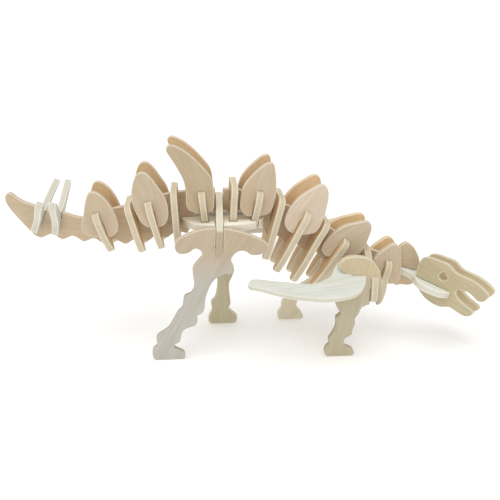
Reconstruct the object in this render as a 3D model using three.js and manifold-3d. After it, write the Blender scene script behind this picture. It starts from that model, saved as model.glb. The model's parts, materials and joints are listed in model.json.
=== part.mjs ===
// A wooden 3D jigsaw of a plated dinosaur. Every piece is a flat board of thin plywood, and the boards hold
// each other with halved joints: each of two crossing boards has a slot, and the slots slide into each other.
// Millimetres. +X runs from tail to head, +Z is up, and the animal's right side faces -Y.

import * as THREE from 'three';
import { mergeVertices } from 'three/addons/utils/BufferGeometryUtils.js';
import Module from 'manifold-3d';

const wasm = await Module();
wasm.setup();

// ---- driving dimensions ----
const PLY = 3; // thickness of every board
const GAP = 0.25; // clearance on each side of a board in its slot
const SLOT = PLY + 2 * GAP;
const REACH = 60; // length of a cutting block that has to run out of the board
const HIP_SPREAD = 19; // middle of each hind leg from the middle of the body
const SHOULDER_SPREAD = 21.4; // the same for the front legs
const VERTEBRA = 9.6; // pitch of the rounded bumps under the spine
const VERTEBRA_BUMP = 1.1; // their height, each way from the middle line
const HIP_X = -17.7; // where the hip cross board would meet the ground
const HIP_LEAN = THREE.MathUtils.degToRad(2.5); // its top leans forward
const SHOULDER_X = 54.6; // where the shoulder cross board stands along the body
const HIP_TO_SPINE = 69.6; // heights of the joints of the two cross boards
const HIP_TO_LEG = 54;
const SHOULDER_TO_SPINE = 39.6;
const SHOULDER_TO_LEG = 33;
const HIP_PLATE_TOP = 63;
const HIP_PLATE_NOTCHES = [-24.4, 1.4]; // between these the hip plate has wood under the spine
const HIP_PLATE_JOINT = 8; // where the hip cross board's slots end in it, from the middle of the body

const deg = THREE.MathUtils.degToRad;
const model = new THREE.Group();

// ---- boards ----

// A smooth closed outline through a few points, as a list of Vector2.
function smooth(points, divisions = 2) {
  const corners = points.map(([a, b]) => new THREE.Vector3(a, b, 0));
  const curve = new THREE.CatmullRomCurve3(corners, true, 'centripetal');
  const outline = curve.getPoints(points.length * divisions);
  outline.pop();
  return outline.map((p) => new THREE.Vector2(p.x, p.y));
}

// The outline of a board that is the same left and right, from the points of its right half.
function mirrored(half) {
  const other = half.filter(([a]) => a !== 0).map(([a, b]) => [-a, b]);
  return [...half, ...other.reverse()];
}

function sheet(outline, holes = []) {
  const shape = new THREE.Shape(outline);
  for (const [a, b, radius] of holes) {
    shape.holes.push(new THREE.Path().absarc(a, b, radius, 0, 2 * Math.PI));
  }
  const geometry = new THREE.ExtrudeGeometry(shape, { depth: PLY, bevelEnabled: false, curveSegments: 10 });
  return geometry.translate(0, 0, -PLY / 2);
}

// Lengthways boards stand in the X-Z plane, cross boards in the Y-Z plane and level boards in the X-Y plane.
const standing = {
  lengthways: (geometry) => geometry.rotateX(Math.PI / 2),
  across: (geometry) => geometry.rotateX(Math.PI / 2).rotateZ(Math.PI / 2),
  level: (geometry) => geometry,
};

function board(name, stand, outline, parent = model, holes = []) {
  const tone = new THREE.Color(0xd9bf93).offsetHSL(0, 0, 0.03 * Math.sin(model.children.length));
  const material = new THREE.MeshStandardMaterial({ color: tone, roughness: 0.75, metalness: 0 });
  const mesh = new THREE.Mesh(standing[stand](sheet(outline, holes)), material);
  mesh.name = name;
  parent.add(mesh);
  return mesh;
}

// ---- cutting ----

function toSolid(geometry) {
  const bare = geometry.clone().deleteAttribute('normal').deleteAttribute('uv');
  const merged = mergeVertices(bare, 1e-4);
  const vertProperties = new Float32Array(merged.attributes.position.array);
  return new wasm.Manifold(new wasm.Mesh({ numProp: 3, vertProperties, triVerts: merged.index.array }));
}

function toGeometry(solid) {
  const { vertProperties, triVerts } = solid.getMesh();
  const geometry = new THREE.BufferGeometry();
  geometry.setAttribute('position', new THREE.BufferAttribute(vertProperties, 3));
  geometry.setIndex(new THREE.BufferAttribute(triVerts, 1));
  const flat = geometry.toNonIndexed();
  flat.computeVertexNormals();
  flat.setAttribute('uv', new THREE.BufferAttribute(new Float32Array(flat.attributes.position.count * 2), 2));
  return flat;
}

// A block that spans the given range along each axis of the frame it is put in.
function block(frame, [x0, x1], [y0, y1], [z0, z1]) {
  const mesh = new THREE.Mesh(new THREE.BoxGeometry(x1 - x0, y1 - y0, z1 - z0));
  mesh.position.set((x0 + x1) / 2, (y0 + y1) / 2, (z0 + z1) / 2);
  const holder = new THREE.Group();
  holder.add(mesh);
  frame.updateMatrixWorld(true);
  frame.matrixWorld.decompose(holder.position, holder.quaternion, holder.scale);
  holder.updateMatrixWorld(true);
  return mesh;
}

function cut(piece, ...tools) {
  piece.updateWorldMatrix(true, false);
  const toPiece = piece.matrixWorld.clone().invert();
  let solid = toSolid(piece.geometry);
  for (const tool of tools) {
    const shape = tool.geometry.clone().applyMatrix4(toPiece.clone().multiply(tool.matrixWorld));
    solid = solid.subtract(toSolid(shape));
  }
  piece.geometry = toGeometry(solid);
}

function frameAt(parent, x, y, z, turnY = 0, turnX = 0) {
  const frame = new THREE.Group();
  frame.position.set(x, y, z);
  frame.rotation.set(turnX, turnY, 0);
  parent.add(frame);
  frame.updateWorldMatrix(true, false);
  return frame;
}

const through = [-REACH / 2, REACH / 2];
const fit = [-SLOT / 2, SLOT / 2];
const nearby = [-PLY, PLY];
const below = [-REACH, GAP / 2];
const above = [-GAP / 2, REACH];

// A halved joint between a cross board and a lengthways board. The frame stands at the middle of the joint
// with its z axis along both slots. The board that came down from above has its slot open at the bottom.
function halve(frame, crossBoard, lengthways, crossIsOnTop) {
  cut(crossBoard, block(frame, nearby, fit, crossIsOnTop ? below : above));
  cut(lengthways, block(frame, fit, nearby, crossIsOnTop ? above : below));
}

// ---- spine: tail, back and neck in one board ----

const backLine = [
  [-110, 71.8], [-109.7, 74.9], [-107.6, 75.6], [-105, 73.4], [-101.6, 71.3], [-97.5, 69.7],
  [-91, 67.6], [-84.5, 66], [-79, 64], [-74, 64], [-67, 66.4], [-60, 68.2], [-50, 70.6], [-40, 73.6],
  [-30, 75.2], [-16, 75.9], [-5, 75.2], [6, 72], [16, 68], [25, 63.5], [35, 57.5], [45, 51.5], [54, 46.6],
  [61, 43.6], [67, 42.6], [70.2, 43.6], [72.4, 46.4], [75, 47.6], [78, 45.7], [80.6, 41.6], [81.9, 37.5],
];
const chin = [[82, 30], [80.2, 27.4], [77.4, 25.9]];
// Under the hips the board is stepped up, so the level hip plate fits below it.
const bellyBehindHips = [[-95.8, 55.6], [-80, 53.7], [-66, 51.7], [-52, 51.9], [-38.5, 54.2], [-29.6, 56.2]];
const hipStep = [
  [6, 56], [4.4, 60], [3.4, 63.8], [1.6, 65], [-24.6, 65], [-26.4, 63.8], [-27.4, 60], [-28.2, 57],
];
const bellyAhead = [[8, 53.5], [24, 46.5], [40, 39.5], [56, 32.5], [73, 26.3]];
const tailEnd = [[-98.4, 55.6], [-101, 58.4], [-104.4, 62.8], [-107.8, 67.4]];

// Points along a line from tail to head, with a rounded bump hanging below it at every vertebra.
function vertebrae(line) {
  const curve = new THREE.SplineCurve(line.map(([x, z]) => new THREE.Vector2(x, z)));
  const steps = Math.round((curve.getLength() / VERTEBRA) * 4);
  return curve.getSpacedPoints(steps).map((p, i) => [p.x, p.y - VERTEBRA_BUMP * Math.cos((i * Math.PI) / 2)]);
}

const spineOutline = [
  ...backLine,
  ...chin,
  ...vertebrae(bellyAhead).reverse(),
  ...hipStep,
  ...vertebrae(bellyBehindHips).reverse(),
  ...tailEnd,
];
const spine = board('spine', 'lengthways', smooth(spineOutline));

// ---- ribs ----

// Each rib stands square to the spine: its upper edge and its feet are given where it crosses the body.
// `shoulder` is half its greatest width, and a rib that carries plates has them `plates` from the middle.
const ribs = [
  { top: [-69.6, 68.5], foot: [-63.9, 49.2], shoulder: 14.8, plates: 9.8 },
  { top: [-55.7, 71], foot: [-49.9, 48.4], shoulder: 12.5 },
  { top: [-46.3, 73.7], foot: [-41.2, 49.8], shoulder: 15.8, plates: 11 },
  { top: [-34.9, 76.8], foot: [-33.8, 51.6], shoulder: 13 },
  { top: [-22.7, 77.6], foot: [-20.8, 59.6], shoulder: 15.8, plates: 10.8, short: true },
  { top: [-7.6, 79], foot: [-8.9, 59.6], shoulder: 12.5, short: true },
  { top: [3.6, 76.8], foot: [0.6, 59.6], shoulder: 14, plates: 9, short: true },
  { top: [13.8, 73], foot: [6.5, 43.2], shoulder: 13 },
  { top: [25.5, 67], foot: [11.4, 37], shoulder: 15, plates: 10 },
  { top: [34.9, 61.2], foot: [19.4, 32], shoulder: 12 },
  { top: [44.2, 52.2], foot: [29, 29], shoulder: 12.6, plates: 6.6 },
  { top: [65.2, 41.2], foot: [60.8, 19.6], shoulder: 10, plates: 5.6 },
];
const FOOT_INNER = 3.6;
const FOOT_OUTER = 9.6;
const TIP_INNER = 6; // the feet of the short hip ribs are tips that pass through the hip plate
const TIP_OUTER = 11;
const TIP_ROOM = 1.2; // clearance of a tip along its slot
const PLATE_JOINT = 5; // middle of the joint between plate and rib, below the rib's upper edge

function ribOutline({ shoulder, short }, length) {
  const crotch = short ? -0.62 * length : Math.min(-15.5, -0.5 * length);
  const upper = [[0, 0], [shoulder - 4, 0], [shoulder - 1, -1.2], [shoulder, -4.2], [shoulder - 0.6, -8]];
  const tips = [
    [TIP_OUTER + 1, 5.5 - length], [TIP_OUTER - 0.7, 0.8 - length], [TIP_OUTER - 2, -length],
    [TIP_INNER + 1.4, -length], [TIP_INNER + 0.2, 1 - length], [TIP_INNER - 1.4, 5.5 - length],
  ];
  const feet = [
    [0.3 * shoulder + 7.6, -0.7 * length], [FOOT_OUTER, 2.6 - length], [FOOT_OUTER - 1.6, 0.3 - length],
    [FOOT_INNER + 1.8, -length], [FOOT_INNER + 0.2, 1.8 - length], [FOOT_INNER, 5 - length],
  ];
  return mirrored([...upper, ...(short ? tips : feet), [2.6, crotch - 0.8], [0, crotch]]);
}

const DEPTH_STEP = 0.25; // how finely a rib's crossing of the spine is measured

// Midway down the spine from its upper edge, measured along a rib that leans with its top at this point.
function spineMiddle([topX, topZ], lean) {
  const ray = new THREE.Vector2(-Math.sin(lean), -Math.cos(lean));
  const inside = [];
  for (let depth = -REACH / 2; depth < REACH / 2; depth += DEPTH_STEP) {
    const point = new THREE.Vector2(topX, topZ).addScaledVector(ray, depth);
    if (isInside(point, spineOutline)) inside.push(depth);
  }
  return -(inside[0] + inside[inside.length - 1]) / 2;
}

function isInside(point, outline) {
  let odd = false;
  outline.forEach(([x, z], i) => {
    const [nextX, nextZ] = outline[(i + 1) % outline.length];
    const spans = (z > point.y) !== (nextZ > point.y);
    if (spans && point.x < x + ((point.y - z) / (nextZ - z)) * (nextX - x)) odd = !odd;
  });
  return odd;
}

ribs.forEach((rib, i) => {
  const [dx, dz] = [rib.top[0] - rib.foot[0], rib.top[1] - rib.foot[1]];
  rib.lean = Math.atan2(dx, dz);
  rib.frame = frameAt(model, rib.top[0], 0, rib.top[1], rib.lean);
  rib.mesh = board(`rib_${i + 1}`, 'across', smooth(ribOutline(rib, Math.hypot(dx, dz))), rib.frame);
  halve(frameAt(rib.frame, 0, 0, spineMiddle(rib.top, rib.lean)), rib.mesh, spine, true);
});

// ---- cross boards that carry the legs ----

const hipFrame = frameAt(model, HIP_X, 0, 0, HIP_LEAN);
const hipCrossBoard = board('hip_cross_board', 'across', smooth(mirrored([
  [0, 73.4], [3.4, 73.2], [8, 70.6], [14, 67], [18.2, 63.6], [20.2, 61.6], [20.7, 59.4], [20.7, 48.4],
  [20.2, 45.8], [18.6, 44.8], [16.2, 45.4], [14.6, 48.6], [12.6, 53], [9.6, 56.6], [8.4, 58.6], [8.4, 62.4],
  [7.6, 63.6], [0, 63.6],
])), hipFrame);
halve(frameAt(hipFrame, 0, 0, HIP_TO_SPINE), hipCrossBoard, spine, true);

const shoulderFrame = frameAt(model, SHOULDER_X, 0, 0);
const shoulderCrossBoard = board('shoulder_cross_board', 'across', smooth(mirrored([
  [0, 47.4], [4.6, 47.2], [9.4, 44.6], [14, 41.4], [19, 39.4], [23, 39.2], [24.4, 37.6], [24.5, 33],
  [24.4, 28.4], [23, 26.8], [19.4, 26.8], [15.6, 28.8], [11, 31], [6.6, 29.6], [3.6, 29.8], [0, 31],
])), shoulderFrame);
halve(frameAt(shoulderFrame, 0, 0, SHOULDER_TO_SPINE), shoulderCrossBoard, spine, true);

// ---- hip plate: a level oval under the spine, gripped by the hip ribs and the hip cross board ----

const hipPlate = board('hip_plate', 'level', smooth(mirrored([
  [0, -32.2], [4, -31.4], [9, -28.6], [13.6, -24.4], [16.2, -19], [16.6, -12], [15.8, -5.4], [13.4, 0.2],
  [10, 3.8], [5.4, 5.8], [0, 6.2],
]).map(([y, x]) => [x, y])));
hipPlate.position.z = HIP_PLATE_TOP - PLY / 2;
// The spine drops through a notch at each end of the plate.
const [notchBehind, notchAhead] = HIP_PLATE_NOTCHES;
cut(hipPlate, block(model, [notchAhead, REACH], fit, [0, 2 * REACH]));
cut(hipPlate, block(model, [-REACH, notchBehind], fit, [0, 2 * REACH]));
for (const side of [-1, 1]) {
  const sideways = (inner, outer) => [side * inner, side * outer].sort((a, b) => a - b);
  cut(hipPlate, block(hipFrame, fit, sideways(HIP_PLATE_JOINT, REACH), [0, 2 * REACH]));
  for (const rib of ribs.filter(({ short }) => short)) {
    const tip = sideways(TIP_INNER - TIP_ROOM, TIP_OUTER + TIP_ROOM);
    cut(hipPlate, block(rib.frame, fit, tip, [-REACH, 0]));
  }
}

// ---- the seven pairs of back plates, from tail to neck ----

const plateOutlines = [
  [[-71.8, 77.4], [-73.4, 73.8], [-74.6, 68.2], [-75.8, 62], [-74.4, 58.6], [-69, 57.4], [-62.6, 57.6],
    [-60, 60.4], [-60.4, 65.6], [-63.4, 72.4], [-66.7, 76.2], [-69.6, 77.8]],
  [[-50.5, 85.6], [-52.6, 80.8], [-53.2, 74.6], [-51.2, 67.4], [-48, 62.4], [-42.6, 61.4], [-38.6, 63.4],
    [-37.3, 68.6], [-38.6, 74.8], [-41.4, 79.4], [-44.4, 83.8], [-47.6, 86.4]],
  [[-37.5, 96.4], [-36.1, 98.2], [-33.4, 97.6], [-29.5, 95.5], [-25.1, 91.8], [-21.3, 87.6], [-18.4, 83.8],
    [-17.2, 80], [-17, 72.4], [-17.6, 69], [-21, 68], [-26.6, 68.2], [-29, 70.2], [-29.4, 76], [-30.2, 82],
    [-32.4, 87], [-35, 91.6]],
  [[9.4, 89.2], [10.4, 86], [10.9, 80.4], [10.6, 74.6], [9.2, 68.6], [7.2, 66], [2, 65.2], [-3, 65.6],
    [-5.2, 68.6], [-5.1, 74], [-3.8, 78.8], [-1.2, 82.4], [2.8, 86.3], [6.6, 89]],
  [[31.6, 79.2], [33.6, 78], [34.4, 75.4], [33.9, 69.4], [32.2, 63], [29.2, 57.4], [25, 56.2], [19.6, 56.6],
    [16.2, 58.4], [14.7, 62], [15.4, 65.6], [17.8, 69.6], [20.8, 73.1], [25.4, 76.4]],
  [[54.7, 60.2], [55.7, 57.4], [54.8, 53.4], [52.8, 48.4], [50.4, 45], [46.4, 44], [39.6, 44.6], [35.2, 44.2],
    [32.8, 47.2], [34, 51.2], [38.8, 55.9], [43, 58.6], [48.4, 59.9], [52.6, 60.6]],
  [[68.6, 48.6], [70.4, 46.4], [71, 40], [71.2, 32.4], [70.2, 29.6], [65, 29.2], [62.4, 31.4], [60.6, 36],
    [57.6, 40.2], [59.8, 44], [62.8, 46.4], [66.6, 48.8]],
];
ribs.filter(({ plates }) => plates).forEach((carrier, i) => {
  for (const [side, y] of [['right', -carrier.plates], ['left', carrier.plates]]) {
    const plate = board(`${side}_plate_${i + 1}`, 'lengthways', smooth(plateOutlines[i], 3));
    plate.position.y = y;
    halve(frameAt(carrier.frame, 0, y, -PLATE_JOINT), carrier.mesh, plate, false);
  }
});

// ---- tail spikes: two V-shaped boards that stand astride the tail ----

const spikeOutline = mirrored([
  [0, 9.6], [4, 10], [12, 14], [19.4, 18.2], [21.4, 18.6], [22.2, 16.8], [17, 12], [10, 6.8], [7, 3],
  [6.4, 0], [4.8, -1.2], [3, -0.4], [1.4, 2], [0, 2.4],
]);
const SPIKE_JOINT = 5.4; // middle of a spike's joint with the tail, above its base
const spikes = [
  { name: 'tail_spike_rear', base: [-97.8, 59.2], lean: deg(22.5) },
  { name: 'tail_spike_front', base: [-88.7, 57.8], lean: deg(10) },
];
for (const { name, base, lean } of spikes) {
  const frame = frameAt(model, base[0], 0, base[1], lean);
  const spike = board(name, 'across', smooth(spikeOutline), frame);
  halve(frameAt(frame, 0, 0, SPIKE_JOINT), spike, spine, true);
}

// ---- legs: the right pair stands back and forward, the left pair is in mid stride ----

const hipCap = [
  [-8.6, 50.6], [-5.6, 52.2], [-3.2, 51.5], [-1.4, 50.2], [1.6, 50], [5, 51], [6.6, 53.4], [5.2, 56],
  [2, 57.8], [-2.6, 59.9], [-7, 61.3], [-13, 62.5], [-20.4, 62.8], [-26.1, 61.6], [-30, 60], [-33.4, 58.2],
  [-34.9, 55.2], [-34.2, 52.4], [-31.8, 51.3], [-28.6, 52], [-25.9, 53.7], [-23.6, 52.6],
];
const rightHindOutline = [
  ...hipCap,
  [-22.9, 50.6], [-24.8, 48], [-26.7, 45.6], [-27.4, 43.4], [-26.8, 38], [-27.1, 34.8], [-28.6, 32.4],
  [-31.2, 31.3], [-31.9, 28.2], [-32.5, 25.6], [-34.3, 23.8], [-37.2, 18.6], [-39.2, 15.7], [-42.8, 13.2],
  [-44.4, 11.8], [-44.5, 9.2], [-44.4, 7.2], [-46.3, 5.6], [-46.6, 2.2], [-45.2, 0], [-44, 0], [-34, 0],
  [-32.4, 0], [-31.8, 1.8], [-32.7, 3.8], [-36.4, 5.8], [-36.6, 7.4], [-34.3, 8.5], [-33.4, 11.3],
  [-32.6, 13.9], [-30, 15.7], [-26.9, 16.7], [-25.7, 19.2], [-25.9, 21.5], [-23.6, 22.7], [-22.5, 24.9],
  [-21.8, 30], [-19.6, 36], [-17, 39.4], [-13.6, 41.3], [-9.2, 41.6], [-8.8, 44], [-10.1, 48],
];
const leftHindOutline = [
  ...hipCap,
  [-22.6, 50.4], [-23.6, 47], [-22.4, 43.6], [-20.6, 40.6], [-20.4, 36.4], [-18.4, 33.6], [-17, 30.4],
  [-16.9, 27.4], [-15.4, 24.6], [-15.4, 21], [-15.9, 17], [-16.9, 13.8], [-18.5, 12.2], [-18.2, 8.6],
  [-18.6, 6.6], [-19.8, 4.2], [-20, 1.6], [-18.8, 0], [-17.6, 0], [-8.4, 0], [-7, 0], [-5.6, 1.4],
  [-5.6, 3.9], [-7.4, 5.8], [-9.7, 8.2], [-8.7, 10.7], [-9.3, 18.4], [-9.1, 22.4], [-7.8, 25.4],
  [-7.2, 27.4], [-8.6, 30.6], [-8.8, 34.4], [-7.6, 38], [-7.4, 42], [-9, 45.4], [-9.9, 48.4],
];
const rightShoulderCap = [
  [58.2, 28.4], [58.4, 32], [58.1, 36], [57.2, 40], [55.8, 43.4], [53.6, 46.2],
  [50.6, 48], [46.4, 48.8], [42, 48.4], [38.9, 46.7], [38.1, 44.6], [39, 42.8], [41.6, 41], [44.4, 39.4],
];
const rightFrontOutline = [
  ...rightShoulderCap,
  [43.4, 36.4], [39.8, 33.4], [37.7, 30.4], [37.3, 27], [38.1, 24.2], [39.6, 21.4], [37.6, 19.4],
  [37.8, 17.4], [37.4, 14], [35.9, 11], [34.6, 8.8], [35, 6.2], [33.6, 5], [32.9, 2.6], [34, 0],
  [35.2, 0], [44.6, 0], [45.8, 0], [46.7, 1.8], [45.6, 3.6], [42.6, 5.1], [41.6, 7.2], [42.6, 9.2],
  [45.4, 10.8], [45.5, 13], [46.6, 16.2], [46.4, 18.4], [48.1, 21.4], [49.2, 24], [52.6, 25.5],
  [56.2, 25.1], [58, 26],
];
const CAP_BASE = 39;
const CAP_RISE = 5; // the left shoulder cap stands higher above its base, for its spine to sit level
const leftFrontOutline = [
  ...rightShoulderCap.map(([x, z]) => [x, z > CAP_BASE ? z + CAP_RISE : z]),
  [43.4, 36], [40.8, 31.4], [39.4, 27.4], [36.4, 24.2], [31.4, 21.4], [26, 18], [22, 14.6], [19.2, 11.4],
  [17.7, 8.6], [17.8, 6.4], [16.4, 4.6], [15.7, 2.4], [16.8, 0], [18, 0], [27, 0], [28.2, 0], [29.2, 1.2],
  [28, 3.8], [26.1, 6.2], [25.5, 8.4], [27.4, 11.6], [31, 13.4], [34, 16.4], [38.4, 18], [42.4, 21],
  [47.2, 22.2], [51.4, 24.8], [56.2, 24.9], [58, 26],
];

function leg(name, points, y) {
  const outline = smooth(points);
  outline.forEach((p) => p.setY(Math.max(p.y, 0))); // the sole is flat
  const mesh = board(name, 'lengthways', outline);
  mesh.position.y = y;
  return mesh;
}

const hindLegs = [
  leg('right_hind_leg', rightHindOutline, -HIP_SPREAD),
  leg('left_hind_leg', leftHindOutline, HIP_SPREAD),
];
const frontLegs = [
  leg('right_front_leg', rightFrontOutline, -SHOULDER_SPREAD),
  leg('left_front_leg', leftFrontOutline, SHOULDER_SPREAD),
];
// The hip board drops into the hind legs; the front legs drop over the shoulder board.
for (const hindLeg of hindLegs) {
  halve(frameAt(hipFrame, 0, hindLeg.position.y, HIP_TO_LEG), hipCrossBoard, hindLeg, true);
}
for (const frontLeg of frontLegs) {
  halve(frameAt(shoulderFrame, 0, frontLeg.position.y, SHOULDER_TO_LEG), shoulderCrossBoard, frontLeg, false);
}

// ---- shoulder spines: long curved horns that sweep back from the front legs ----

const hornOutline = [
  [-2.9, -3], [-1.6, -0.9], [1.6, -0.6], [8.8, -1.8], [15, -2.6], [22, -3.8], [27, -3.6], [31.4, -2],
  [34.8, 0.4], [36.6, 4], [38.8, 7.4], [42.4, 8.8], [46.4, 7.4], [49.2, 4], [50.2, 0], [49.8, -3.8],
  [47.6, -7.5], [44, -9.9], [38.5, -11.2], [32.2, -11.8], [26, -11.3], [17.8, -10], [9.6, -7.8], [1.8, -5.1],
  [-1.6, -4.4],
];
const HORN_JOINT = 44; // where the horn's slot meets the leg's slot
const horns = [
  { name: 'right_shoulder_spine', leg: frontLegs[0], side: -1, at: [-22.04, 38.77], droop: deg(35) },
  { name: 'left_shoulder_spine', leg: frontLegs[1], side: 1, at: [23.2, 47.4], droop: 0 },
];
for (const { name, leg: carrier, side, at, droop } of horns) {
  const frame = frameAt(model, 0, at[0], at[1], 0, droop);
  const horn = board(name, 'level', smooth(hornOutline.map(([x, y]) => [x, -side * y])), frame);
  const legFrame = frameAt(model, 0, side * SHOULDER_SPREAD, 0);
  cut(horn, block(legFrame, [HORN_JOINT - GAP / 2, HORN_JOINT + REACH], fit, [0, 2 * REACH]));
  cut(carrier, block(frame, [HORN_JOINT - REACH, HORN_JOINT + GAP / 2], through, fit));
}

// ---- head: a level plate that turns in the slot of the neck, and the two sides of the skull on it ----

const neckPivot = [74, 0, 33.6];
const headPitch = deg(17.5);
const headTurn = deg(-36);
const TONGUE = 4.5; // half the width of the head plate's tongue, and the radius of its end
const SKULL_SPREAD = 6.2;
const SKULL_JOINT = 20;
const neckSlotFrame = frameAt(model, ...neckPivot, headPitch);
cut(spine, block(neckSlotFrame, [-TONGUE - GAP, REACH], through, fit));

const head = frameAt(neckSlotFrame, 0, 0, 0);
head.rotation.z = headTurn;
head.updateWorldMatrix(true, false);

const tongueEnd = [-90, -60, -30, 0].map(deg);
const headPlate = board('head_plate', 'level', smooth(mirrored([
  ...tongueEnd.map((angle) => [TONGUE * Math.cos(angle), TONGUE * Math.sin(angle)]),
  [4.6, 4], [6, 7], [9, 9], [12.6, 11.2], [15.2, 15], [15.7, 19], [14.2, 23], [10.6, 25.8], [6, 27],
  [0, 27.4],
]).map(([v, u]) => [u, v])), head);

const EYE = [20.9, 6.9, 2.1]; // place and radius of the eye hole
const skullOutline = [
  [8.7, 11], [11.2, 12.5], [17, 13], [20.6, 13.1], [22.8, 12.2], [25.2, 11.1], [28.4, 10.8], [33, 10.7],
  [37.8, 9.8], [40.8, 8.6], [42.7, 7.2], [42.6, 5.4], [41.2, 3.4], [39.6, 2.9], [36.4, 4], [33.8, 4.8],
  [30.6, 4.4], [28.9, 3.6], [28.9, 2], [30.8, 0.4], [34.6, -1.1], [38.4, -2.1], [39.5, -3], [38.6, -5],
  [36.2, -6.1], [31.6, -5.7], [28.6, -5.3], [25, -6.9], [21, -7.1], [16.8, -6.2], [13.2, -4.2], [10.6, -1.9],
  [9.2, 0.6], [8.4, 3.6], [8.2, 7.4],
];
for (const [side, v] of [['right', -SKULL_SPREAD], ['left', SKULL_SPREAD]]) {
  const skull = board(`${side}_skull_side`, 'lengthways', smooth(skullOutline), head, [EYE]);
  skull.position.y = v;
  skull.updateWorldMatrix(true, false);
  const frame = frameAt(head, 0, v, 0);
  cut(skull, block(frame, [-REACH, SKULL_JOINT + GAP / 2], nearby, fit));
  cut(headPlate, block(frame, [SKULL_JOINT - GAP / 2, REACH], fit, nearby));
}

// ---- stand the model on z = 0, with the origin under the middle of its box ----

model.updateMatrixWorld(true);
const box = new THREE.Box3().setFromObject(model, true);
const middle = box.getCenter(new THREE.Vector3());
model.position.set(-middle.x, -middle.y, -box.min.z);

export default model;
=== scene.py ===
"""A wooden 3D jigsaw of a plated dinosaur: thin plywood boards that slot into each other.

Every board is drawn again from its CAD solid, with a smooth outline, eased edges, wood grain that runs
along the board, and the three plies showing round its rim.
"""

import json
import math

import bmesh
import bpy
import numpy as np
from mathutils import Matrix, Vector
from mathutils.geometry import tessellate_polygon


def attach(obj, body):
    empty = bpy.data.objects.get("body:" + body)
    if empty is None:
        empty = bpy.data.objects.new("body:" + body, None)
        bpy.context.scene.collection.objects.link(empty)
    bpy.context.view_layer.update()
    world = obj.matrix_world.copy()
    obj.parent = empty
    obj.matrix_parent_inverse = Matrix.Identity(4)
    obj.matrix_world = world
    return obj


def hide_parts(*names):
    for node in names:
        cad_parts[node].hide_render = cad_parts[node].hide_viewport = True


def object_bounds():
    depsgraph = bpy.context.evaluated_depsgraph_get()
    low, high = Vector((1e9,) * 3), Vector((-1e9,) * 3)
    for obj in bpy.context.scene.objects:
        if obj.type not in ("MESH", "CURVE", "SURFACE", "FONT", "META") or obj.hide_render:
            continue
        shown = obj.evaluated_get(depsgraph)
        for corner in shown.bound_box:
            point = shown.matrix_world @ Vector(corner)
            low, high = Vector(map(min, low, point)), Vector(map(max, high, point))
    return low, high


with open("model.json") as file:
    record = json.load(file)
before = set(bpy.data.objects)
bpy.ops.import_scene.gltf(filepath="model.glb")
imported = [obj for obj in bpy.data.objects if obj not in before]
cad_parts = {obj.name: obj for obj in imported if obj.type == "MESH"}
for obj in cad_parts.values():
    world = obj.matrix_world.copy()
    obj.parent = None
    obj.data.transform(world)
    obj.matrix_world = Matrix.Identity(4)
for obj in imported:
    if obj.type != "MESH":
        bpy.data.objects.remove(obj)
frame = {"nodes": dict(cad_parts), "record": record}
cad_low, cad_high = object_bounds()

MM = 0.001  # scene units; every other length in this file is in mm unless it says so
TINY = 1e-9  # keeps a division by a zero length harmless
random = np.random.default_rng(11)

# Outlines.
SEEN_FROM = (0.1, -1, 0.5)  # the face of a board that looks this way gives its outline
SAME_POINT = 0.005  # closer points of a solid are one point
FACE_COSINE = 0.9  # a triangle belongs to a board's face if it looks the same way at least this closely
STRAIGHT_TURN = math.radians(0.3)  # a point where the outline turns less than this is left out
SHARP_TURN = math.radians(50)  # a corner that turns more than this is a slot's corner, and stays sharp
CURVE_STEP = 0.7  # length between the points of a curved outline
CURVE_STEPS_MOST = 6  # points that one curved stretch is drawn with, at the most
SHORTEST_MITRE = 0.5  # cosine that stops a sharp corner's inset from running far into the wood

# Boards.
EASE = 0.32  # radius of the worn edge between a board's face and its rim
EASE_STEPS = 3
CREASE = math.radians(44)  # shading is smooth over every edge that turns less than this
SHEET_SIZE = 900  # side of the plywood sheets that the boards' places in the grain are picked from


# ---- outlines of the boards, from the CAD solids ----


def triangles_of(node):
    """The corners of a CAD node's triangles in mm, as an array of n x 3 x 3."""
    solid = bmesh.new()
    solid.from_mesh(frame["nodes"][node].data)
    bmesh.ops.remove_doubles(solid, verts=solid.verts, dist=SAME_POINT * MM)
    bmesh.ops.triangulate(solid, faces=solid.faces)
    corners = np.array([[v.co for v in face.verts] for face in solid.faces]) / MM
    solid.free()
    return corners


def board_axes(triangles):
    """Unit vectors along the board's grain, across it, and through its thickness."""
    crossed = np.cross(triangles[:, 1] - triangles[:, 0], triangles[:, 2] - triangles[:, 0])
    size = np.linalg.norm(crossed, axis=1)
    keep = size > TINY
    normals = crossed[keep] / size[keep, None]
    _, vectors = np.linalg.eigh(np.einsum("n,ni,nj->ij", size[keep], normals, normals))
    through = vectors[:, 2]
    through *= 1 if through @ SEEN_FROM > 0 else -1
    flat = triangles.reshape(-1, 3)
    flat = flat - flat.mean(axis=0)
    flat = flat - np.outer(flat @ through, through)
    along = np.linalg.eigh(flat.T @ flat)[1][:, 2]
    return along, np.cross(through, along), through


def face_loops(triangles, through):
    """The closed outlines of the face that looks along "through", each as its points in order."""
    corners = {}
    edges = set()
    for triangle in triangles:
        normal = np.cross(triangle[1] - triangle[0], triangle[2] - triangle[0])
        if normal @ through < FACE_COSINE * np.linalg.norm(normal) or not normal.any():
            continue
        keys = [tuple(p) for p in triangle]
        corners.update(zip(keys, triangle))
        for start, end in zip(keys, keys[1:] + keys[:1]):
            if (end, start) in edges:
                edges.remove((end, start))
            elif start != end:
                edges.add((start, end))
    following = dict(edges)
    loops = []
    while following:
        start, key = following.popitem()
        loop = [corners[start]]
        while key != start:
            loop.append(corners[key])
            key = following.pop(key)
        loops.append(np.array(loop))
    return loops


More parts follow.
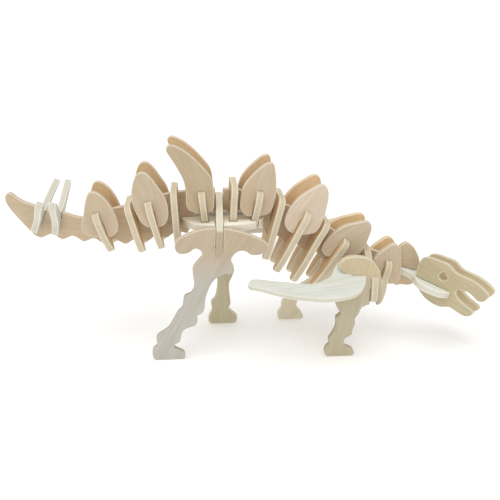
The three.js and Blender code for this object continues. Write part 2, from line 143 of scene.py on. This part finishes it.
def turn_angles(loop):
    """How far the outline turns at each of its points, in radians."""
    before = loop - np.roll(loop, 1, axis=0)
    after = np.roll(loop, -1, axis=0) - loop
    cross = before[:, 0] * after[:, 1] - before[:, 1] * after[:, 0]
    return np.arctan2(cross, (before * after).sum(axis=1))


def without_straight_points(loop):
    """The outline without the points that it runs straight through."""
    return loop[np.abs(turn_angles(loop)) > STRAIGHT_TURN]


def shortened(chord, length):
    """The chord, made no longer than a length."""
    return chord * min(1, length / (np.linalg.norm(chord) + TINY))


def curved(loop):
    """The outline with its gentle turns drawn as curves through the same points."""
    sharp = np.abs(turn_angles(loop)) > SHARP_TURN
    count = len(loop)
    result = []
    for i in range(count):
        p0, p1, p2, p3 = (loop[(i + k) % count] for k in (-1, 0, 1, 2))
        result.append(p1)
        length = np.linalg.norm(p2 - p1)
        sharp_start, sharp_end = sharp[i], sharp[(i + 1) % count]
        if sharp_start and sharp_end:
            continue
        # A curve runs straight into a sharp corner. Elsewhere its slopes are no longer than itself.
        slope1 = p2 - p1 if sharp_start else shortened(p2 - p0, length)
        slope2 = p2 - p1 if sharp_end else shortened(p3 - p1, length)
        steps = min(CURVE_STEPS_MOST, max(1, round(length / CURVE_STEP)))
        for t in (np.arange(1, steps) / steps).tolist():
            result.append(
                (2 * t**3 - 3 * t**2 + 1) * p1
                + (t**3 - 2 * t**2 + t) * slope1
                + (3 * t**2 - 2 * t**3) * p2
                + (t**3 - t**2) * slope2
            )
    return np.array(result)


def unit(vectors):
    return vectors / (np.linalg.norm(vectors, axis=1)[:, None] + TINY)


def inset(loop, distance):
    """The outline moved into the wood by a small distance. The wood is on the left of the outline."""
    before = unit(loop - np.roll(loop, 1, axis=0))
    after = unit(np.roll(loop, -1, axis=0) - loop)
    onward = unit(before + after)
    left = np.stack([-onward[:, 1], onward[:, 0]], axis=1)
    half_turn = np.abs(turn_angles(loop)) / 2
    mitre = distance / np.maximum(np.cos(half_turn), SHORTEST_MITRE)
    return loop + left * mitre[:, None]


# ---- a board's mesh ----


def make_board(node):
    """A board with eased edges, as an object with three attributes for its material.

    "grain" is a place in the sheet: mm along the grain, across it and up from the board's middle.
    "level" is the height above the ground in mm.
    "rim" is 1 on the rim and its eased edges, and 0 on the faces.
    """
    triangles = triangles_of(node)
    along, across, through = board_axes(triangles)
    depth = triangles.reshape(-1, 3) @ through
    middle, half = (depth.max() + depth.min()) / 2, (depth.max() - depth.min()) / 2
    basis = np.stack([along, across])
    loops = [loop @ basis.T for loop in face_loops(triangles, through)]
    loops = [curved(without_straight_points(loop)) for loop in loops]

    # Rings round the rim from the upper face to the lower one: each is an inset and a height.
    angles = np.linspace(0, math.pi / 2, EASE_STEPS + 1)
    rings = [(EASE * (1 - math.sin(a)), half - EASE * (1 - math.cos(a))) for a in angles]
    rings += [(distance, -height) for distance, height in reversed(rings)]

    points, faces, rim, caps = [], [], [], ([], [])
    for loop in loops:
        first, count = len(points), len(loop)
        for distance, height in rings:
            points += [(*p, height) for p in inset(loop, distance)]
        for r in range(len(rings) - 1):
            upper, lower = first + r * count, first + (r + 1) * count
            for i in range(count):
                j = (i + 1) % count
                faces.append((upper + i, lower + i, lower + j, upper + j))
                rim.append(1.0)
        last = first + (len(rings) - 1) * count
        caps[0].append(range(first, first + count))
        caps[1].append(range(last, last + count))
    for cap, upward in zip(caps, (True, False)):
        order = [i for ring in cap for i in ring]
        outlines = [[Vector((*points[i][:2], 0)) for i in ring] for ring in cap]
        for a, b, c in tessellate_polygon(outlines):
            corner = [order[k] for k in (a, b, c)]
            (xa, ya), (xb, yb), (xc, yc) = (points[i][:2] for i in corner)
            counterclockwise = (xb - xa) * (yc - ya) > (xc - xa) * (yb - ya)
            faces.append(corner if counterclockwise == upward else corner[::-1])
            rim.append(0.0)

    local = np.array(points)
    world = local[:, :2] @ basis + np.outer(local[:, 2] + middle, through)
    mesh = bpy.data.meshes.new(f"board_{node}")
    mesh.from_pydata((world * MM).tolist(), [], faces)
    sheet_place = np.append(random.uniform(0, SHEET_SIZE, 2), 0)
    grain = mesh.attributes.new("grain", "FLOAT_VECTOR", "POINT")
    grain.data.foreach_set("vector", (local + sheet_place).ravel())
    level = mesh.attributes.new("level", "FLOAT", "POINT")
    level.data.foreach_set("value", world[:, 2])
    on_rim = mesh.attributes.new("rim", "FLOAT", "FACE")
    on_rim.data.foreach_set("value", rim)
    mesh.validate()
    mesh.shade_smooth()
    mesh.set_sharp_from_angle(angle=CREASE)
    board = bpy.data.objects.new(f"board_{node}", mesh)
    bpy.context.scene.collection.objects.link(board)
    return board


# ---- wood ----


class Nodes:
    """Short calls for a material's node tree."""

    def __init__(self, name):
        self.material = bpy.data.materials.new(name)
        self.material.use_nodes = True
        self.tree = self.material.node_tree
        self.shader = self.tree.nodes["Principled BSDF"]

    def add(self, kind, *inputs, **settings):
        """A new node. Each input is a socket's name or number, and a value or another node's socket."""
        node = self.tree.nodes.new(kind)
        for key, value in settings.items():
            setattr(node, key, value)
        for socket, value in inputs:
            self.put(node.inputs[socket], value)
        return node

    def put(self, socket, value):
        if isinstance(value, bpy.types.NodeSocket):
            self.tree.links.new(value, socket)
        else:
            socket.default_value = value

    def math(self, operation, *values):
        return self.add("ShaderNodeMath", *enumerate(values), operation=operation).outputs[0]

    def mix(self, factor, a, b, blend="MIX"):
        """Colour a where the factor is 0, and b where it is 1."""
        node = self.add("ShaderNodeMix", ("Factor", factor), data_type="RGBA", blend_type=blend)
        self.put(node.inputs[6], a)
        self.put(node.inputs[7], b)
        return node.outputs[2]

    def tint(self, colour, factors):
        return self.mix(1.0, colour, (*factors, 1), "MULTIPLY")

    def over(self, colour, other, mask, strength):
        """The colour, with some of another colour over it where the mask is 1."""
        return self.mix(self.math("MULTIPLY", mask, strength), colour, other)

    def ramp(self, value, low, high):
        """0 below low, 1 above high, smooth between."""
        node = self.add(
            "ShaderNodeMapRange",
            ("Value", value),
            ("From Min", low),
            ("From Max", high),
            interpolation_type="SMOOTHSTEP",
        )
        return node.outputs[0]

    def attribute(self, name, output="Fac"):
        return self.add("ShaderNodeAttribute", attribute_name=name).outputs[output]

    def noise(self, place, frequency, detail=2.0, distortion=0.0):
        """Noise from 0 to 1. The frequency is one number, or one for each direction of the place."""
        if isinstance(frequency, tuple):
            place = self.add(
                "ShaderNodeVectorMath", (0, place), (1, frequency), operation="MULTIPLY"
            ).outputs[0]
            frequency = 1.0
        return self.add(
            "ShaderNodeTexNoise",
            ("Vector", place),
            ("Scale", frequency),
            ("Detail", detail),
            ("Distortion", distortion),
        ).outputs["Fac"]


# Noise in the wood: how often it changes per mm along the grain, across it and through the board.
RING_GRAIN = (0.012, 0.16, 0.02)
FIBRE_GRAIN = (0.05, 1.6, 0.2)
PORE_GRAIN = (0.35, 5.0, 0.5)
CLOUD_GRAIN = (0.05, 0.07, 0.05)
FUZZ_GRAIN = (2.2, 2.2, 0.5)
END_GRAIN = (3.5, 3.5, 6.0)
WAVER_GRAIN = 0.35
RING_COUNT = 9.0  # growth lines from one end of the ring noise's values to the other

# The plies, in mm.
PLY_LINE = 0.72  # from the board's middle to its glue lines
PLY_BLUR = 0.08  # half the width over which the core turns into an outer ply
PLY_WAVER = 0.3  # how far the plies wander up and down
GLUE_LINE = (0.03, 0.14)  # distances from a glue line's middle where it starts to fade and is gone
RELIEF = 0.12  # depth of the fibres, pores and fuzz

# What multiplies a board's tone, and the glue's own colour.
BRIGHT_FACE = (1.06, 1.06, 1.06)
LATE_WOOD = (0.84, 0.78, 0.69)
PORE = (0.6, 0.5, 0.4)
WARM = (1.0, 0.93, 0.83)
GLUE = (0.38, 0.25, 0.14)


def plywood(name, tone, rim_tone, low_tone, fade_levels):
    """Pale plywood: fibres and soft figure on the faces, three plies round the rim.

    The board changes from its low tone to its own tone between the two fade levels, heights in mm above
    the ground.
    """
    n = Nodes(name)
    place = n.attribute("grain", "Vector")
    rim = n.attribute("rim")
    height = n.add("ShaderNodeSeparateXYZ", (0, place)).outputs["Z"]
    above = n.ramp(n.attribute("level"), *fade_levels)
    wood = n.mix(above, (*low_tone, 1), (*tone, 1))
    late_wood = n.tint(wood, LATE_WOOD)
    pore_wood = n.tint(wood, PORE)

    # Face: a slow figure of growth rings, long fibres, short pores, and a cloudy tone.
    figure = n.noise(place, RING_GRAIN, distortion=1.2)
    rings = n.math("PINGPONG", n.math("MULTIPLY", figure, RING_COUNT), 1.0)
    fibres = n.noise(place, FIBRE_GRAIN, detail=4.0, distortion=0.4)
    pores = n.ramp(n.noise(place, PORE_GRAIN, detail=1.0), 0.66, 0.76)
    clouds = n.noise(place, CLOUD_GRAIN)
    face = n.tint(wood, BRIGHT_FACE)
    face = n.over(face, late_wood, n.ramp(rings, 0.25, 0.95), 0.3)
    face = n.over(face, late_wood, n.ramp(fibres, 0.42, 0.66), 0.24)
    face = n.over(face, pore_wood, pores, 0.28)
    face = n.over(face, n.tint(wood, WARM), n.ramp(clouds, 0.35, 0.7), 0.25)

    # Rim: two outer plies, a darker core, thin glue lines, and fuzz left by the cutter. Its pale tone
    # is fresh wood with painted highlight in it.
    waver = n.math("MULTIPLY", n.math("SUBTRACT", n.noise(place, WAVER_GRAIN), 0.5), PLY_WAVER)
    from_middle = n.math("ADD", n.math("ABSOLUTE", height), waver)
    outer = n.ramp(from_middle, PLY_LINE - PLY_BLUR, PLY_LINE + PLY_BLUR)
    core = n.math("SUBTRACT", 1.0, outer)
    from_glue = n.math("ABSOLUTE", n.math("SUBTRACT", from_middle, PLY_LINE))
    glue = n.math("SUBTRACT", 1.0, n.ramp(from_glue, *GLUE_LINE))
    fuzz = n.noise(place, FUZZ_GRAIN, detail=3.0)
    ends = n.ramp(n.noise(place, END_GRAIN), 0.55, 0.7)
    # the rim's tone: half the board's rim tone, half fresh wood with painted highlight
    fresh_and_highlit = n.mix(0.5, (*rim_tone, 1), (*FRESH_EDGE_AND_HIGHLIGHT, 1))
    edge = n.mix(above, (*low_tone, 1), fresh_and_highlit)
    edge = n.over(edge, late_wood, core, 0.4)
    edge = n.over(edge, (*GLUE, 1), glue, 0.35)
    edge = n.over(edge, late_wood, n.ramp(fuzz, 0.5, 0.75), 0.3)
    edge = n.over(edge, pore_wood, n.math("MULTIPLY", core, ends), 0.3)
    n.put(n.shader.inputs["Base Color"], n.mix(rim, face, edge))

    roughness = n.math("MULTIPLY_ADD", fibres, 0.2, 0.5)
    n.put(n.shader.inputs["Roughness"], n.math("MULTIPLY_ADD", rim, 0.15, roughness))
    n.put(n.shader.inputs["Specular IOR Level"], 0.35)

    face_height = n.math("MULTIPLY_ADD", pores, -0.6, n.math("MULTIPLY", fibres, 0.5))
    plies_height = n.math("MULTIPLY_ADD", glue, -0.5, n.math("MULTIPLY", core, -0.35))
    rim_height = n.math("MULTIPLY_ADD", fuzz, 0.9, plies_height)
    relief = n.add(
        "ShaderNodeMix", ("Factor", rim), (2, face_height), (3, rim_height), data_type="FLOAT"
    ).outputs[0]
    bump = n.add("ShaderNodeBump", ("Height", relief), ("Strength", 0.45), ("Distance", RELIEF * MM))
    n.put(n.shader.inputs["Normal"], bump.outputs[0])
    return n.material


# ---- the boards ----

# Base colours of the sheets that the boards were stamped from. Some of them hold painted light or
# shade, as marked.
BEIGE = (0.59, 0.485, 0.35)
TAN = (0.585, 0.48, 0.335)
# painted shade: a warm orange for faces that stand in the shade of other boards
SHADED_OCHRE = (0.66, 0.475, 0.275)
PALE = (0.76, 0.71, 0.59)
BROWN = (0.545, 0.445, 0.325)
GREY = (0.525, 0.51, 0.445)
OLIVE = (0.515, 0.46, 0.335)
CHALK = (0.665, 0.685, 0.625)
FRESH_EDGE_AND_HIGHLIGHT = (0.93, 0.88, 0.735)  # fresh wood on the rims, made paler still as painted highlight so that every rim shows as a lit line

TONES = {
    "spine": TAN,
    # painted shade: the ribs' sides are orange where they stand in shade
    "rib": SHADED_OCHRE,
    "hip_cross_board": PALE,
    # painted shade: the far plates are orange and darker, standing in for the near plates' shadow and
    # warm bounce light
    "left_plate": SHADED_OCHRE,
    "left_plate_5": (0.75, 0.55, 0.32),
    "left_plate_6": (0.77, 0.55, 0.30),
    "left_plate_7": (0.80, 0.58, 0.34),
    "right_hind_leg": BROWN,
    "right_plate_3": (0.53, 0.435, 0.29),
    "right_plate_5": (0.70, 0.595, 0.46),
    "right_skull_side": (0.54, 0.475, 0.305),
    "left_skull_side": (0.60, 0.505, 0.315),
    "head_plate": (0.74, 0.75, 0.70),
    # painted light: the hip plate is paler than its wood so that it looks lit, though the plates and
    # spine shade it
    "hip_plate": (0.93, 0.90, 0.80),
    "tail_spike_rear": CHALK,
    "tail_spike_front": CHALK,
    "right_shoulder_spine": CHALK,
    "left_shoulder_spine": CHALK,
    "right_front_leg": (0.59, 0.495, 0.325),
    "left_hind_leg": (0.59, 0.54, 0.37),
    # painted light: the far front leg is paler than its wood so that it looks lit, though the horn and
    # body shade it
    "left_front_leg": (0.80, 0.72, 0.56),
}
RIM_TONES = {"rib": (0.60, 0.55, 0.40)}  # boards whose rims are another tone than their faces
# Boards that are another tone lower down: the tone, and between which levels it changes.
FADES = {
    "right_hind_leg": (GREY, (36, 56)),
    "right_front_leg": (OLIVE, (28, 42)),
    # painted shade: the hip cross board turns the leg's brown where it sits down in the leg's slot,
    # shaded by the slot's walls
    "hip_cross_board": (BROWN, (60.5, 62)),
}
NO_FADE = (-2, -1)  # levels under the ground, so that the whole board has its own tone
BRIGHTNESS_SPREAD = 0.02  # between boards of one tone
HUE_SPREAD = 0.008


def wood_of(node):
    """A board's own piece of wood: the face's, the rim's and the low tone, and the fade levels."""
    group = "_".join(node.split("_")[:-1])
    tone = TONES.get(node) or TONES.get(group, BEIGE)
    rim_tone = RIM_TONES.get(group, tone)
    low_tone, fade_levels = FADES.get(node, (tone, NO_FADE))
    own = random.normal(1, BRIGHTNESS_SPREAD) * (1 + random.normal(0, HUE_SPREAD, 3))
    tones = [tuple(np.clip(np.array(t) * own, 0, 1)) for t in (tone, rim_tone, low_tone)]
    return *tones, fade_levels


bodies = frame["record"]["behaviour"]["bodies"]
body_of = {node: body for body, nodes in bodies.items() for node in nodes}
for node in sorted(frame["nodes"]):
    board = make_board(node)
    board.data.materials.append(plywood(f"plywood_{node}", *wood_of(node)))
    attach(board, body_of[node])
    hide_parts(node)


# ---- floor, light and camera ----

# In metres and degrees.
FLOOR_SIZE = 400
FLOOR_TONES = ((0.93, 0.93, 0.93, 1), (0.96, 0.96, 0.955, 1))
FLOOR_MOTTLE = 40.0  # per metre
FLOOR_GLOW = 0.14  # painted glow: the paper glows so that the model's shadow on it washes out, and it lights the model from below
VIEW_AZIMUTH = -4.5
VIEW_ELEVATION = 19
VIEW_DISTANCE = 0.345
VIEW_AIM = Vector((-0.0018, -0.0012, 0.0455))
SENSOR_WIDTH = 36  # mm
LENS = 52.6  # mm
NEAREST_SEEN = 0.01


def towards(azimuth, elevation):
    """A unit vector. Azimuth 0 points to -Y, and a positive one turns from there to +X."""
    a, e = math.radians(azimuth), math.radians(elevation)
    return Vector((math.sin(a) * math.cos(e), -math.cos(a) * math.cos(e), math.sin(e)))


def make_floor():
    """A white sheet of paper under the model, at the height of its soles."""
    half = FLOOR_SIZE / 2
    mesh = bpy.data.meshes.new("floor")
    corners = [(-half, -half, 0), (half, -half, 0), (half, half, 0), (-half, half, 0)]
    mesh.from_pydata(corners, [], [(0, 1, 2, 3)])
    floor = bpy.data.objects.new("floor", mesh)
    floor.location.z = cad_low.z
    bpy.context.scene.collection.objects.link(floor)
    paper = Nodes("floor_paper")
    mottle = paper.noise(paper.add("ShaderNodeNewGeometry").outputs["Position"], FLOOR_MOTTLE)
    paper.put(paper.shader.inputs["Base Color"], paper.mix(mottle, *FLOOR_TONES))
    paper.put(paper.shader.inputs["Roughness"], 0.9)
    paper.put(paper.shader.inputs["Specular IOR Level"], 0.1)
    # painted glow, which washes out the shadows on the paper
    paper.put(paper.shader.inputs["Emission Color"], (1, 1, 1, 1))
    paper.put(paper.shader.inputs["Emission Strength"], FLOOR_GLOW)
    mesh.materials.append(paper.material)


def make_sun(azimuth, elevation, strength, softness, colour):
    """A soft light from one side. Softness is the width of its disc in degrees."""
    light = bpy.data.lights.new("softbox", "SUN")
    light.energy = strength
    light.angle = math.radians(softness)
    light.color = colour
    lamp = bpy.data.objects.new("softbox", light)
    lamp.rotation_euler = (-towards(azimuth, elevation)).to_track_quat("-Z", "Y").to_euler()
    bpy.context.scene.collection.objects.link(lamp)


def make_world(horizon, zenith):
    """A white studio that is brighter overhead than at its horizon."""
    world = bpy.data.worlds.new("studio")
    world.use_nodes = True
    tree = world.node_tree
    direction = tree.nodes.new("ShaderNodeTexCoord").outputs["Generated"]
    height = tree.nodes.new("ShaderNodeSeparateXYZ")
    tree.links.new(direction, height.inputs[0])
    level = tree.nodes.new("ShaderNodeMapRange")
    tree.links.new(height.outputs["Z"], level.inputs["Value"])
    level.inputs["To Min"].default_value = horizon
    level.inputs["To Max"].default_value = zenith
    background = tree.nodes["Background"]
    background.inputs["Color"].default_value = (1, 1, 1, 1)
    tree.links.new(level.outputs[0], background.inputs["Strength"])
    bpy.context.scene.world = world


def make_camera():
    camera = bpy.data.objects.new("camera", bpy.data.cameras.new("camera"))
    back = towards(VIEW_AZIMUTH, VIEW_ELEVATION)
    camera.location = VIEW_AIM + back * VIEW_DISTANCE
    camera.rotation_mode = "QUATERNION"
    camera.rotation_quaternion = (-back).to_track_quat("-Z", "Y")
    camera.data.sensor_width = SENSOR_WIDTH
    camera.data.lens = LENS
    camera.data.clip_start = NEAREST_SEEN
    bpy.context.scene.collection.objects.link(camera)
    bpy.context.scene.camera = camera


make_floor()
make_sun(azimuth=-25, elevation=70, strength=0.95, softness=50, colour=(1.0, 0.99, 0.97))
make_world(horizon=0.52, zenith=0.95)
make_camera()
bpy.context.scene.view_settings.view_transform = "Standard"
